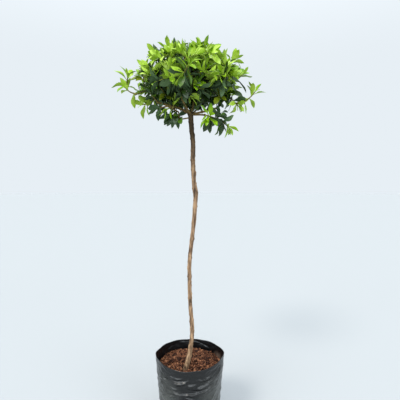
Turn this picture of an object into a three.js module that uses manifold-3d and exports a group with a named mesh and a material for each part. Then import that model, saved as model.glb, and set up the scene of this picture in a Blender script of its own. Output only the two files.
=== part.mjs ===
// A standard ("lollipop") shrub: a clear, slightly crooked stem with a rounded crown, growing in
// a film grow bag filled with bark and coir. Millimetres, +Z up, the origin at the centre of the
// bag's flat underside. The crown is made of separate masses of foliage, each one a set of twigs
// that branch by a seeded rule, and every mass keeps to its own part of the crown.

import * as THREE from 'three';
import { mergeVertices } from 'three/addons/utils/BufferGeometryUtils.js';
import Module from 'manifold-3d';

const wasm = await Module();
wasm.setup();

// ---------------------------------------------------------------- driving dimensions

const GAP = 0.3; // between pieces that touch
const CUTTER = 80; // size of the blocks that cut the seat in the soil and the foot of the stem

const BAG = {
  footRadius: 90, // the flat underside
  cornerHeight: 9, // height of the rounded lower edge
  lowRadius: 99,
  rimRadius: 117,
  rimHeight: 275,
  rimSaddle: 2.4, // the rim stands higher at the two side creases
  rimTilt: 1.3, // and a little higher at the back
  wall: 2.2,
  crease: 2.2, // how far the two side creases stand out
  crumple: 1.1, // slack in the film
  sides: 32,
  rings: 5,
};

const SOIL = {
  level: 249,
  wallLevel: 236, // the surface falls away to the bag's wall
  shoulder: 50, // radius where the fall begins
  dishDepth: 12, // the surface dips towards the stem
  dishRadius: 48,
  lump: 1.6,
  rings: 5,
};

const STEM = {
  foot: new THREE.Vector3(-16, -45, 235), // where the stem leaves the soil
  seatRadius: 15, // flat place in the soil under the foot
  sides: 10,
  steps: 48,
  knotSpacing: 44, // old leaf joints, rubbed down to low knots
  knotRise: 1.3,
  knotHalfHeight: 9,
  seed: 11,
};

// The stem's line from just under its foot to the fork: it leans in from the front of the bag,
// kinks at an old pruning knuckle at about two thirds of its height, and then runs straight.
const STEM_LINE = [
  [-21, -47, 213], [-16, -45, 235], [-1, -38, 288], [9, -28, 372], [2, -18, 462], [-1, -10, 552],
  [-1, -6, 600], [5, -3, 666], [14, 0, 742], [19, 0, 806], [21, 0, 850], [15, 0, 892],
  [12, 0, 958], [11.5, 0, 1034], [7, 0, 1072], [4, 0, 1127],
];
const STEM_GIRTH = [ // height, radius
  [213, 12.5], [235, 10.4], [262, 8.2], [320, 7.1], [520, 6.5], [700, 6.8], [820, 7.4],
  [856, 8.6], [900, 7.4], [1050, 7.8], [1100, 8.4], [1127, 8.8],
];
const FORK = new THREE.Vector3(4, 0, 1127);
const FORK_RADIUS = 10.5;

// Boughs run from the fork to a swollen node at their tip, from which the masses start.
const NODE_RADIUS = 4.4;
const BOUGHS = {
  bough_left: { line: [[-30, -2, 1145], [-70, -4, 1156], [-110, -6, 1167]], radii: [4.7, 3.4] },
  bough_right: { line: [[34, 4, 1134], [66, 9, 1142], [98, 12, 1153]], radii: [3.9, 3.1] },
  bough_front: { line: [[-6, -24, 1138], [-14, -46, 1148], [-22, -68, 1161]], radii: [3.9, 3.1] },
  bough_back: { line: [[10, 25, 1137], [17, 48, 1147], [24, 72, 1160]], radii: [3.9, 3.1] },
  bough_low_right: { line: [[20, -13, 1123], [36, -24, 1121], [52, -34, 1118]], radii: [3.2, 2.9] },
  leader: { line: [[10, 1, 1150], [15, 1, 1180], [20, 2, 1216]], radii: [3.8, 3.1] },
};
const BOUGH_SIDES = 6;
const BOUGH_STEPS = 7;
const LIMB_SAMPLE = 4; // spacing of the points that stand for a limb where room is tested

const CROWN = {
  centre: new THREE.Vector3(-5, 0, 1245),
  wide: 197, // half width
  up: 112,
  down: 98,
};

// Each mass starts at a bough's tip, or at a height on the stem, and fills the room round its
// heart. Reaches are the long shoots that stand out of the rounded crown.
const MASSES = {
  foliage_left: {
    from: 'bough_left', heart: [-170, -6, 1238],
    reaches: [[-218, -14, 1212], [-206, -34, 1252], [-170, 34, 1168], [-180, -52, 1180]],
  },
  foliage_right: {
    from: 'bough_right', heart: [160, 8, 1224],
    reaches: [[226, -6, 1202], [168, -8, 1154], [190, 24, 1272]],
  },
  foliage_front: { from: 'bough_front', heart: [-28, -142, 1226], reaches: [[6, -188, 1236]] },
  foliage_back: { from: 'bough_back', heart: [24, 146, 1228], reaches: [[-36, 190, 1222], [104, 168, 1222]] },
  foliage_top_left: { from: 'leader', heart: [-64, -36, 1290], reaches: [[-80, -8, 1350], [-126, -4, 1330], [-30, -16, 1344]] },
  foliage_top_right: { from: 'leader', heart: [92, -26, 1290], reaches: [[46, -10, 1338], [152, -8, 1308]] },
  foliage_top_back: { from: 'leader', heart: [10, 86, 1294], reaches: [[12, 50, 1354]] },
  foliage_low_right: {
    from: 'bough_low_right', heart: [124, -58, 1092],
    reaches: [[134, -50, 1074], [62, -84, 1108], [104, -40, 1124]],
  },
  foliage_low_left: {
    from: 1116, heart: [-64, -34, 1098],
    reaches: [[-106, -34, 1142], [-36, -28, 1130], [-76, -58, 1142], [-66, 18, 1128]],
  },
};

const GROWTH = {
  seed: 87,
  leafSeed: 7919,
  spacing: 51, // between neighbouring shoot tips
  darts: 1600, // tries at placing a tip, for each mass
  spread: 157, // how far from the heart tips are tried
  innermost: 0.2, // tips lie in this band of the crown, from 0 at its centre to 1 at its edge
  outermost: 0.82,
  edgeRoom: 9, // a tip's distance from the neighbouring masses
  stemShare: 0.7, // how much of the way to the heart the stem runs
  stemJoints: [0.4, 0.6, 0.8, 1], // where twigs join the stem, and where they join a twig
  twigJoints: [0.5, 0.75, 0.95],
  carry: 0.16, // a twig sets off along its parent, sags, and rises to its tip
  sag: 0.1,
  stemRadius: 2.7,
  twigRadius: 2.1,
  twigTipRadius: 1.7,
  twigSides: 3,
  twigSteps: 2,
  checks: 8, // places along a twig that are tested for room
  limbRoom: 3.2, // twigs to limbs
  leafLimbRoom: 6.5,
  leafEdge: 1.1, // how far out a leaf may reach
  neighbourRoom: 0.5,
};

const LEAF = {
  length: [52, 66],
  aspect: 0.52, // width to length, of the blade with its corners cut to a kite
  thickness: 1.4, // at its root, thinning to the tip
  widest: 0.5, // how far along the blade its corners are
  fold: 0.07, // the blade folds up from its midrib
  sunk: 0.1, // of its root, past the middle of the twig
  whorl: 5, // leaves round a shoot's tip
  whorlStep: 4.5,
  whorlOpening: [0.5, 0.95], // radians from the shoot's line
  whorlLift: 0.22, // young leaves stand up and old ones hang
  lowLift: -0.32, // and so does a whorl under the crown
  lowBelow: 1150,
  along: 3, // leaves further down the shoot
  alongStep: 16,
  alongOpening: [0.95, 1.35],
  alongLift: -0.18,
  lowest: 0.25, // no leaf grows nearer to the twig's root than this share of it
  turn: 0.9, // radians of scatter round the twig
  facing: 0.8, // how far the upper side turns to the sky
  tries: 8, // places tried for each leaf
};
const GOLDEN_ANGLE = Math.PI * (3 - Math.sqrt(5));
const UP = new THREE.Vector3(0, 0, 1);

const FINISHES = {
  bag: { color: 0x1b1d20, roughness: 0.42, metalness: 0 },
  soil: { color: 0x5b3424, roughness: 0.95, metalness: 0 },
  bark: { color: 0x8a6a4c, roughness: 0.85, metalness: 0 },
  foliage: { color: 0x4f8a2b, roughness: 0.45, metalness: 0 },
};

// ---------------------------------------------------------------- solids and small tools

function makeRandom(seed) {
  let state = seed >>> 0;
  return () => {
    state = (Math.imul(state, 1664525) + 1013904223) >>> 0;
    return state / 4294967296;
  };
}

function interpolate(table, x) {
  if (x <= table[0][0]) {
    return table[0][1];
  }
  for (let i = 1; i < table.length; i += 1) {
    const [x0, y0] = table[i - 1];
    const [x1, y1] = table[i];
    if (x <= x1) {
      return y0 + ((y1 - y0) * (x - x0)) / (x1 - x0);
    }
  }
  return table[table.length - 1][1];
}

function toSolid(geometry) {
  const bare = geometry.clone();
  bare.deleteAttribute('normal');
  bare.deleteAttribute('uv');
  const merged = mergeVertices(bare, 1e-3);
  const triVerts = [];
  const corners = merged.index.array;
  for (let i = 0; i < corners.length; i += 3) {
    const [a, b, c] = [corners[i], corners[i + 1], corners[i + 2]];
    if (a !== b && b !== c && c !== a) {
      triVerts.push(a, b, c);
    }
  }
  return new wasm.Manifold(new wasm.Mesh({
    numProp: 3,
    vertProperties: new Float32Array(merged.attributes.position.array),
    triVerts: new Uint32Array(triVerts),
  }));
}

function toGeometry(solid) {
  const mesh = solid.getMesh();
  const geometry = new THREE.BufferGeometry();
  geometry.setAttribute('position', new THREE.BufferAttribute(new Float32Array(mesh.vertProperties), 3));
  geometry.setIndex(new THREE.BufferAttribute(new Uint32Array(mesh.triVerts), 1));
  geometry.computeVertexNormals();
  return geometry;
}

// The largest body of a solid: a hollow sealed by joining is filled and a loose scrap is dropped.
function largestBody(solid) {
  return solid.decompose().reduce((a, b) => (a.volume() > b.volume() ? a : b));
}

function moveVertices(geometry, place) {
  const position = geometry.attributes.position;
  const point = new THREE.Vector3();
  for (let i = 0; i < position.count; i += 1) {
    point.fromBufferAttribute(position, i);
    place(point);
    position.setXYZ(i, point.x, point.y, point.z);
  }
  return geometry;
}

// A tube of changing radius along a curve, closed at both ends.
function limbGeometry(curve, radiusAt, sides, steps) {
  const frames = curve.computeFrenetFrames(steps, false);
  const geometry = new THREE.CylinderGeometry(1, 1, 1, sides, steps);
  return moveVertices(geometry, (point) => {
    const i = Math.round((point.y + 0.5) * steps);
    const { x, z } = point;
    const radius = radiusAt(i / steps, Math.atan2(z, x));
    curve.getPointAt(i / steps, point);
    point.addScaledVector(frames.normals[i], x * radius);
    point.addScaledVector(frames.binormals[i], -z * radius);
  });
}

function ball(centre, radius) {
  const geometry = new THREE.SphereGeometry(radius, 8, 6);
  geometry.translate(centre.x, centre.y, centre.z);
  return toSolid(geometry);
}

function lineThrough(points) {
  const corners = points.map((p) => new THREE.Vector3(...p));
  return new THREE.CatmullRomCurve3(corners, false, 'catmullrom', 0.5);
}

// ---------------------------------------------------------------- the grow bag and its filling

function bagRadius(height) {
  if (height < BAG.cornerHeight) {
    const sunk = 1 - height / BAG.cornerHeight;
    return BAG.lowRadius - (BAG.lowRadius - BAG.footRadius) * sunk * sunk;
  }
  const t = (height - BAG.cornerHeight) / (BAG.rimHeight - BAG.cornerHeight);
  return BAG.lowRadius + (BAG.rimRadius - BAG.lowRadius) * t;
}

// The film's departure from round: two side creases, slack folds and a saddle-shaped rim.
function slacken(point) {
  const angle = Math.atan2(point.y, point.x);
  const rise = THREE.MathUtils.smoothstep(point.z, 0, 120);
  const out = BAG.crease * Math.abs(Math.cos(angle)) ** 22
    + BAG.crumple * Math.sin(4 * angle + 1);
  const radius = Math.hypot(point.x, point.y);
  const stretch = radius > 1 ? 1 + (rise * out) / BAG.rimRadius : 1;
  const nearRim = THREE.MathUtils.smoothstep(point.z, 200, BAG.rimHeight);
  point.x *= stretch;
  point.y *= stretch;
  point.z += nearRim * (BAG.rimSaddle * Math.cos(2 * angle) + BAG.rimTilt * Math.sin(angle));
}

function wallProfile(low, high, inset) {
  const profile = [];
  for (let i = 0; i <= BAG.rings; i += 1) {
    const height = low + ((high - low) * i) / BAG.rings;
    profile.push(new THREE.Vector2(bagRadius(height) - inset, height));
  }
  return profile;
}

function makeBag() {
  const floor = BAG.wall;
  const rim = new THREE.Vector2(BAG.rimRadius - BAG.wall, BAG.rimHeight);
  const profile = [
    new THREE.Vector2(0, 0),
    new THREE.Vector2(BAG.footRadius, 0),
    new THREE.Vector2(bagRadius(BAG.cornerHeight / 3), BAG.cornerHeight / 3),
    ...wallProfile(BAG.cornerHeight, BAG.rimHeight, 0),
    rim,
    ...wallProfile(floor + BAG.cornerHeight, SOIL.wallLevel, BAG.wall).reverse(),
    new THREE.Vector2(BAG.footRadius - BAG.wall, floor),
    new THREE.Vector2(0, floor),
  ];
  const geometry = new THREE.LatheGeometry(profile, BAG.sides);
  geometry.rotateX(Math.PI / 2);
  return toSolid(moveVertices(geometry, slacken));
}

function soilHeight(x, y) {
  const away = Math.hypot(x - STEM.foot.x, y - STEM.foot.y) / SOIL.dishRadius;
  const lumps = Math.sin(x / 13) * Math.cos(y / 17) + 0.5 * Math.sin((x + 2 * y) / 11);
  const fall = THREE.MathUtils.smoothstep(Math.hypot(x, y), SOIL.shoulder, BAG.rimRadius - 9)
    * (SOIL.level - SOIL.wallLevel);
  return SOIL.level - fall - SOIL.dishDepth * Math.exp(-away * away) + SOIL.lump * lumps;
}

function makeSoil() {
  const inset = BAG.wall + 2 * GAP;
  const profile = [
    new THREE.Vector2(0, inset),
    new THREE.Vector2(BAG.footRadius - inset, inset),
    ...wallProfile(BAG.wall + BAG.cornerHeight, SOIL.wallLevel, inset),
  ];
  const edge = profile[profile.length - 1].x;
  for (let i = SOIL.rings - 1; i >= 0; i -= 1) {
    profile.push(new THREE.Vector2((edge * i) / SOIL.rings, SOIL.wallLevel));
  }
  const geometry = new THREE.LatheGeometry(profile, BAG.sides);
  geometry.rotateX(Math.PI / 2);
  moveVertices(geometry, (point) => {
    const onTop = point.z > SOIL.wallLevel - GAP && Math.hypot(point.x, point.y) < edge - GAP;
    slacken(point);
    if (onTop) {
      point.z = soilHeight(point.x, point.y);
    }
  });
  const seat = new THREE.CylinderGeometry(STEM.seatRadius, STEM.seatRadius, CUTTER, 20);
  seat.rotateX(Math.PI / 2);
  seat.translate(STEM.foot.x, STEM.foot.y, STEM.foot.z + CUTTER / 2);
  return toSolid(geometry).subtract(toSolid(seat));
}

// ---------------------------------------------------------------- stem and boughs

const stemLine = lineThrough(STEM_LINE);

function makeKnots() {
  const random = makeRandom(STEM.seed);
  const knots = [];
  for (let z = STEM.foot.z + STEM.knotSpacing; z < FORK.z - STEM.knotSpacing;) {
    knots.push({ z, angle: random() * 2 * Math.PI, rise: STEM.knotRise * (0.5 + random()) });
    z += STEM.knotSpacing * (0.6 + 0.8 * random());
  }
  return knots;
}
const knots = makeKnots();

function stemRadius(u, angle, extra) {
  const z = stemLine.getPointAt(u).z;
  let radius = interpolate(STEM_GIRTH, z) + extra;
  for (const knot of knots) {
    const lift = Math.exp(-(((z - knot.z) / STEM.knotHalfHeight) ** 2));
    const side = Math.max(0, Math.cos(angle - knot.angle));
    radius += knot.rise * lift * side;
  }
  return radius;
}

// The stem with its fork knuckle, made thicker all over by extra.
function stemSolid(extra) {
  const shaft = limbGeometry(stemLine, (u, angle) => stemRadius(u, angle, extra), STEM.sides, STEM.steps);
  return toSolid(shaft).add(ball(FORK, FORK_RADIUS + extra));
}

function makeStem() {
  const below = new THREE.BoxGeometry(CUTTER, CUTTER, CUTTER);
  below.translate(STEM.foot.x, STEM.foot.y, STEM.foot.z + GAP - CUTTER / 2);
  return stemSolid(0).subtract(toSolid(below));
}

const stemSleeve = stemSolid(GAP);

const boughLines = Object.fromEntries(Object.entries(BOUGHS).map(
  ([name, bough]) => [name, lineThrough([FORK.toArray(), ...bough.line])],
));

function makeBough(name) {
  const [thick, thin] = BOUGHS[name].radii;
  const line = boughLines[name];
  const limb = toSolid(limbGeometry(line, (u) => thick + (thin - thick) * u, BOUGH_SIDES, BOUGH_STEPS));
  return largestBody(limb.add(ball(line.getPoint(1), NODE_RADIUS)).subtract(stemSleeve));
}

// The limbs as points with a radius, which twigs and leaves keep clear of.
function limbPoints() {
  const points = [];
  const sample = (line, radiusAt, spacing) => {
    const count = Math.ceil(line.getLength() / spacing);
    for (let i = 0; i <= count; i += 1) {
      points.push({ at: line.getPointAt(i / count), radius: radiusAt(i / count) });
    }
  };
  sample(stemLine, (u) => interpolate(STEM_GIRTH, stemLine.getPointAt(u).z) + STEM.knotRise, LIMB_SAMPLE);
  points.push({ at: FORK, radius: FORK_RADIUS });
  for (const [name, { radii }] of Object.entries(BOUGHS)) {
    sample(boughLines[name], (u) => radii[0] + (radii[1] - radii[0]) * u, LIMB_SAMPLE);
    points.push({ at: boughLines[name].getPoint(1), radius: NODE_RADIUS });
  }
  return points.filter((limb) => limb.at.z > CROWN.centre.z - 3 * CROWN.down);
}
const limbs = limbPoints();

function clearOfLimbs(point, room) {
  return limbs.every((limb) => limb.at.distanceTo(point) > limb.radius + room);
}

// ---------------------------------------------------------------- the masses of foliage

function massStart(mass) {
  if (typeof mass.from === 'string') {
    return boughLines[mass.from].getPoint(1);
  }
  const u = (mass.from - STEM_LINE[0][2]) / (FORK.z - STEM_LINE[0][2]);
  return stemLine.getPointAt(u);
}

const masses = Object.entries(MASSES).map(([name, mass], index) => {
  const start = massStart(mass);
  const heart = new THREE.Vector3(...mass.heart);
  const reaches = mass.reaches.map((p) => new THREE.Vector3(...p));
  const size = start.distanceTo(heart);
  return { name, from: mass.from, start, heart, reaches, size, seed: GROWTH.seed + index };
});

// How far inside its own part of the crown a point is: the parts meet on flat faces, so that
// the start of each mass lies on the face that it shares with the others from the same node.
function roomInside(mass, point) {
  let room = Infinity;
  const own = point.distanceToSquared(mass.heart) - mass.size ** 2;
  for (const other of masses) {
    if (other !== mass) {
      const theirs = point.distanceToSquared(other.heart) - other.size ** 2;
      room = Math.min(room, (theirs - own) / (2 * mass.heart.distanceTo(other.heart)));
    }
  }
  return room;
}

// 0 at the crown's centre, 1 on its rounded outline.
function crownDepth(point) {
  const z = point.z - CROWN.centre.z;
  const tall = z > 0 ? CROWN.up : CROWN.down;
  return Math.hypot(
    (point.x - CROWN.centre.x) / CROWN.wide,
    (point.y - CROWN.centre.y) / CROWN.wide,
    z / tall,
  );
}

// Shoot tips of one mass: its long reaches, and then an even scatter through its room.
function dealTips(mass) {
  const random = makeRandom(mass.seed);
  const tips = mass.reaches.map((at) => ({ at, long: true }));
  for (let dart = 0; dart < GROWTH.darts; dart += 1) {
    const at = new THREE.Vector3(random() - 0.5, random() - 0.5, random() - 0.5);
    at.multiplyScalar(2 * GROWTH.spread).add(mass.heart);
    const depth = crownDepth(at);
    const fits = depth > GROWTH.innermost
      && depth < GROWTH.outermost
      && roomInside(mass, at) > GROWTH.edgeRoom
      && tips.every((tip) => tip.at.distanceTo(at) > GROWTH.spacing);
    if (fits) {
      tips.push({ at, long: false });
    }
  }
  return tips.sort((a, b) => a.at.distanceTo(mass.start) - b.at.distanceTo(mass.start));
}

function bend(from, along, to) {
  const length = from.distanceTo(to);
  const middle = from.clone().lerp(to, 0.5);
  middle.addScaledVector(along, GROWTH.carry * length);
  middle.addScaledVector(UP, -GROWTH.sag * length);
  return new THREE.QuadraticBezierCurve3(from, middle, to);
}

function curveIsClear(mass, curve) {
  for (let i = 1; i <= GROWTH.checks; i += 1) {
    const point = curve.getPoint(i / GROWTH.checks);
    if (roomInside(mass, point) < GROWTH.stemRadius + GROWTH.neighbourRoom) {
      return false;
    }
    if (!clearOfLimbs(point, GROWTH.limbRoom)) {
      return false;
    }
  }
  return true;
}

// Twigs join the nearest point of what has grown already, so they branch from one stem.
function growTwigs(mass) {
  const outward = mass.heart.clone().sub(mass.start).normalize();
  const stem = new THREE.LineCurve3(mass.start, mass.start.clone().lerp(mass.heart, GROWTH.stemShare));
  const twigs = [{ curve: stem, radii: [GROWTH.stemRadius, GROWTH.twigRadius], long: false }];
  const joints = GROWTH.stemJoints.map((t) => ({ at: stem.getPoint(t), along: outward }));
  for (const tip of dealTips(mass)) {
    const nearest = joints.reduce(
      (a, b) => (a.at.distanceToSquared(tip.at) < b.at.distanceToSquared(tip.at) ? a : b),
    );
    const curve = bend(nearest.at, nearest.along, tip.at);
    if (curveIsClear(mass, curve)) {
      twigs.push({ curve, radii: [GROWTH.twigRadius, GROWTH.twigTipRadius], long: tip.long });
      for (const t of GROWTH.twigJoints) {
        joints.push({ at: curve.getPoint(t), along: curve.getTangent(t) });
      }
    }
  }
  return twigs;
}

// A leaf's root, direction and upper side, for its place on the twig.
function leafPose(twig, slot, random) {
  const whorled = slot < LEAF.whorl;
  const length = twig.curve.getLength();
  const down = whorled
    ? LEAF.whorlStep * (slot + 0.5)
    : LEAF.whorlStep * LEAF.whorl + LEAF.alongStep * (slot - LEAF.whorl);
  const t = Math.max(LEAF.lowest, 1 - down / length);
  const root = twig.curve.getPoint(t);
  const along = twig.curve.getTangent(t);
  const side = new THREE.Vector3().crossVectors(along, UP).normalize();
  side.applyAxisAngle(along, slot * GOLDEN_ANGLE + random() * LEAF.turn);
  const [narrow, wide] = whorled ? LEAF.whorlOpening : LEAF.alongOpening;
  const opening = narrow + (wide - narrow) * random();
  const direction = along.clone().multiplyScalar(Math.cos(opening));
  direction.addScaledVector(side, Math.sin(opening));
  const whorlLift = twig.curve.getPoint(1).z < LEAF.lowBelow ? LEAF.lowLift : LEAF.whorlLift;
  direction.addScaledVector(UP, whorled ? whorlLift : LEAF.alongLift).normalize();
  const upper = along.clone().addScaledVector(UP, LEAF.facing);
  upper.addScaledVector(direction, -upper.dot(direction)).normalize();
  const [short, long] = LEAF.length;
  return { root, direction, upper, size: short + (long - short) * random() };
}

// A folded kite: a three-sided cone whose apex and base middle become the blade's two corners,
// and whose base corners become the tip and the upper and lower ends of the thick root.
function leafGeometry(pose) {
  const across = new THREE.Vector3().crossVectors(pose.direction, pose.upper);
  const geometry = new THREE.ConeGeometry(1, 1, 3);
  return moveVertices(geometry, (point) => {
    const { x, y, z } = point;
    const isCorner = Math.hypot(x, z) < 0.5;
    const isTip = z > 0.5;
    point.copy(pose.root);
    if (isTip) {
      point.addScaledVector(pose.direction, pose.size);
    } else if (isCorner) {
      point.addScaledVector(pose.direction, LEAF.widest * pose.size);
      point.addScaledVector(across, Math.sign(y) * 0.5 * LEAF.aspect * pose.size);
      point.addScaledVector(pose.upper, LEAF.fold * pose.size);
    } else {
      point.addScaledVector(pose.direction, -LEAF.sunk);
      point.addScaledVector(pose.upper, Math.sign(x) * 0.5 * LEAF.thickness);
    }
  });
}

// Points spread over the blade, beyond its root.
function bladePoints(pose) {
  const across = new THREE.Vector3().crossVectors(pose.direction, pose.upper);
  const at = (along, aside) => pose.root.clone()
    .addScaledVector(pose.direction, along * pose.size)
    .addScaledVector(across, aside * LEAF.aspect * pose.size);
  return [at(0.1, 0), at(0.3, 0), at(0.5, 0), at(0.75, 0), at(1, 0), at(0.5, 0.5), at(0.5, -0.5)];
}

function leafFits(mass, pose, long) {
  const points = bladePoints(pose);
  return roomInside(mass, pose.root) > GROWTH.stemRadius
    && points.every((point) => roomInside(mass, point) > GROWTH.neighbourRoom)
    && points.every((point) => long || crownDepth(point) < GROWTH.leafEdge)
    && points.every((point) => clearOfLimbs(point, GROWTH.leafLimbRoom));
}

// Adds the leaves of one twig, each in a place where it crosses no other leaf and no other twig.
function growLeaves(mass, twig, others, leaves, random) {
  for (let slot = 0; slot < LEAF.whorl + LEAF.along; slot += 1) {
    for (let attempt = 0; attempt < LEAF.tries; attempt += 1) {
      const pose = leafPose(twig, slot, random);
      const leaf = toSolid(leafGeometry(pose));
      const free = [...others, ...leaves].every((piece) => piece.intersect(leaf).isEmpty());
      if (free && leafFits(mass, pose, twig.long)) {
        leaves.push(leaf);
        break;
      }
    }
  }
}

function twigSolid(twig) {
  const [thick, thin] = twig.radii;
  const radiusAt = (u) => thick + (thin - thick) * u;
  return toSolid(limbGeometry(twig.curve, radiusAt, GROWTH.twigSides, GROWTH.twigSteps));
}

function makeMass(mass) {
  const random = makeRandom(mass.seed * GROWTH.leafSeed);
  const twigs = growTwigs(mass);
  const wood = twigs.map(twigSolid);
  const leaves = [];
  twigs.forEach((twig, index) => {
    growLeaves(mass, twig, wood.filter((piece, i) => i !== index), leaves, random);
  });
  const sleeve = typeof mass.from === 'string' ? ball(mass.start, NODE_RADIUS + GAP) : stemSleeve;
  return largestBody(wasm.Manifold.union([...wood, ...leaves]).subtract(sleeve));
}

// ---------------------------------------------------------------- the plant

const plant = new THREE.Group();

function place(name, solid, finish) {
  const mesh = new THREE.Mesh(toGeometry(solid), new THREE.MeshStandardMaterial(FINISHES[finish]));
  mesh.name = name;
  plant.add(mesh);
}

place('grow_bag', makeBag(), 'bag');
place('growing_medium', makeSoil(), 'soil');
place('trunk', makeStem(), 'bark');
for (const name of Object.keys(BOUGHS)) {
  place(name, makeBough(name), 'bark');
}
for (const mass of masses) {
  place(mass.name, makeMass(mass), 'foliage');
}

export default plant;
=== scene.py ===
"""Looks for a standard ("lollipop") shrub in a film grow bag.

The stem, boughs, foliage and bag follow the part's source, so measures are in millimetres
unless a line says otherwise. Meshes and materials are in metres.
"""

import math

import bpy
import numpy as np
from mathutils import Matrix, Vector, noise


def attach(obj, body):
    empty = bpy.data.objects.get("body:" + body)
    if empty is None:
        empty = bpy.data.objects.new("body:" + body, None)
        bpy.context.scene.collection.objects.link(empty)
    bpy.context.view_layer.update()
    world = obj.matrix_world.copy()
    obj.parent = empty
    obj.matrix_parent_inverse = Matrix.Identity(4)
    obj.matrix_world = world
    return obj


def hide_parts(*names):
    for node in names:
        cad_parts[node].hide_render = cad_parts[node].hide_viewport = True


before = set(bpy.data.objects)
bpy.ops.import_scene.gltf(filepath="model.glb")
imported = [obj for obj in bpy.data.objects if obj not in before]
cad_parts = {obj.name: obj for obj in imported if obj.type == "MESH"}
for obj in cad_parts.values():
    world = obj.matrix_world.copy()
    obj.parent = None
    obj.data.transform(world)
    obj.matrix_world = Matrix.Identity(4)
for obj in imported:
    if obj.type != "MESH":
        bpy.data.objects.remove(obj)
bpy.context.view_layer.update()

MM = 0.001  # metres
BODY = "root"
UP = np.array([0.0, 0.0, 1.0])
GOLDEN_ANGLE = math.pi * (3 - math.sqrt(5))

# ---------------- the plant's own measures

STEM_LINE = [
    (-21, -47, 213), (-16, -45, 235), (-1, -38, 288), (9, -28, 372), (2, -18, 462), (-1, -10, 552),
    (-1, -6, 600), (5, -3, 666), (14, 0, 742), (19, 0, 806), (21, 0, 850), (15, 0, 892),
    (12, 0, 958), (11.5, 0, 1034), (7, 0, 1072), (4, 0, 1127),
]
STEM_GIRTH = [  # height, radius
    (213, 12.5), (235, 10.4), (262, 8.2), (320, 7.1), (520, 6.5), (700, 6.8), (820, 7.4),
    (856, 8.6), (900, 7.4), (1050, 7.8), (1100, 8.4), (1127, 8.8),
]
STEM_FOOT = (-16, -45, 235)
GAP = 0.3  # between the stem's foot and the growing medium
FORK = np.array([4.0, 0.0, 1127.0])
FORK_RADIUS = 10.5
KNOT = {"spacing": 44, "rise": 1.3, "half_height": 9, "seed": 11}
COLLAR = {"below": 3, "half_height": 2.4, "share": 0.35}  # the ridge round a knot's foot
SCAR_HALF_HEIGHT = 3.4

NODE_RADIUS = 4.4  # of the burr at a bough's tip
BOUGHS = {  # points after the fork, and the radii at both ends
    "bough_left": ([(-30, -2, 1145), (-70, -4, 1156), (-110, -6, 1167)], (4.7, 3.4)),
    "bough_right": ([(34, 4, 1134), (66, 9, 1142), (98, 12, 1153)], (3.9, 3.1)),
    "bough_front": ([(-6, -24, 1138), (-14, -46, 1148), (-22, -68, 1161)], (3.9, 3.1)),
    "bough_back": ([(10, 25, 1137), (17, 48, 1147), (24, 72, 1160)], (3.9, 3.1)),
    "bough_low_right": ([(20, -13, 1123), (36, -24, 1121), (52, -34, 1118)], (3.2, 2.9)),
    "leader": ([(10, 1, 1150), (15, 1, 1180), (20, 2, 1216)], (3.8, 3.1)),
}
LIMB_SAMPLE = 4
CROWN_CENTRE = np.array([-5.0, 0.0, 1245.0])
CROWN_WIDE, CROWN_UP, CROWN_DOWN = 197, 112, 98

# Where each mass starts (a bough's tip, or a height on the stem), its heart, its long shoots.
MASSES = {
    "foliage_left": (
        "bough_left", (-170, -6, 1238),
        [(-218, -14, 1212), (-206, -34, 1252), (-170, 34, 1168), (-180, -52, 1180)],
    ),
    "foliage_right": (
        "bough_right", (160, 8, 1224), [(226, -6, 1202), (168, -8, 1154), (190, 24, 1272)],
    ),
    "foliage_front": ("bough_front", (-28, -142, 1226), [(6, -188, 1236)]),
    "foliage_back": ("bough_back", (24, 146, 1228), [(-36, 190, 1222), (104, 168, 1222)]),
    "foliage_top_left": (
        "leader", (-64, -36, 1290), [(-80, -8, 1350), (-126, -4, 1330), (-30, -16, 1344)],
    ),
    "foliage_top_right": ("leader", (92, -26, 1290), [(46, -10, 1338), (152, -8, 1308)]),
    "foliage_top_back": ("leader", (10, 86, 1294), [(12, 50, 1354)]),
    "foliage_low_right": (
        "bough_low_right", (124, -58, 1092), [(134, -50, 1074), (62, -84, 1108), (104, -40, 1124)],
    ),
    "foliage_low_left": (
        1116, (-64, -34, 1098),
        [(-106, -34, 1142), (-36, -28, 1130), (-76, -58, 1142), (-66, 18, 1128)],
    ),
}

# The source's rule of growth, for the coarse twigs. Inner, outer, carry and sag are shares.
SEED = 87
COARSE = {
    "spacing": 51, "darts": 1600, "spread": 157, "inner": 0.2, "outer": 0.82, "edge": 9,
    "carry": 0.16, "sag": 0.1,
}
STEM_SHARE = 0.7  # of the way from the start to the heart
STEM_JOINTS = (0.4, 0.6, 0.8, 1)  # shares of the length, where twigs may join
TWIG_JOINTS = (0.5, 0.75, 0.95)
STEM_RADIUS = 2.7
NEIGHBOUR_ROOM = 0.5
LIMB_ROOM = 3.2
CHECKS = 8  # points of a twig that have to be clear

# The same rule carried on to side shoots.
FINE = {
    "spacing": 33, "darts": 4200, "spread": 157, "inner": 0.2, "outer": 0.86, "edge": 2,
    "carry": 0.2, "sag": 0.17,
}
FINE_SEED = 5113
LEAF_SEED = 7919


# ---------------- small tools

def seeded(seed):
    """The source's own random numbers, from 0 to 1."""
    state = seed & 0xFFFFFFFF

    def draw():
        nonlocal state
        state = (state * 1664525 + 1013904223) & 0xFFFFFFFF
        return state / 4294967296

    return draw


def unit(v):
    """v at length 1."""
    return v / max(1e-9, math.sqrt(v @ v))


def turned(v, axis, angle):
    """v turned about a unit axis."""
    c, s = math.cos(angle), math.sin(angle)
    return v * c + np.cross(axis, v) * s + axis * (axis @ v) * (1 - c)


def smooth(x, low, high):
    """0 below low, 1 above high, and a soft step between them."""
    t = np.clip((x - low) / (high - low), 0, 1)
    return t * t * (3 - 2 * t)


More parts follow.
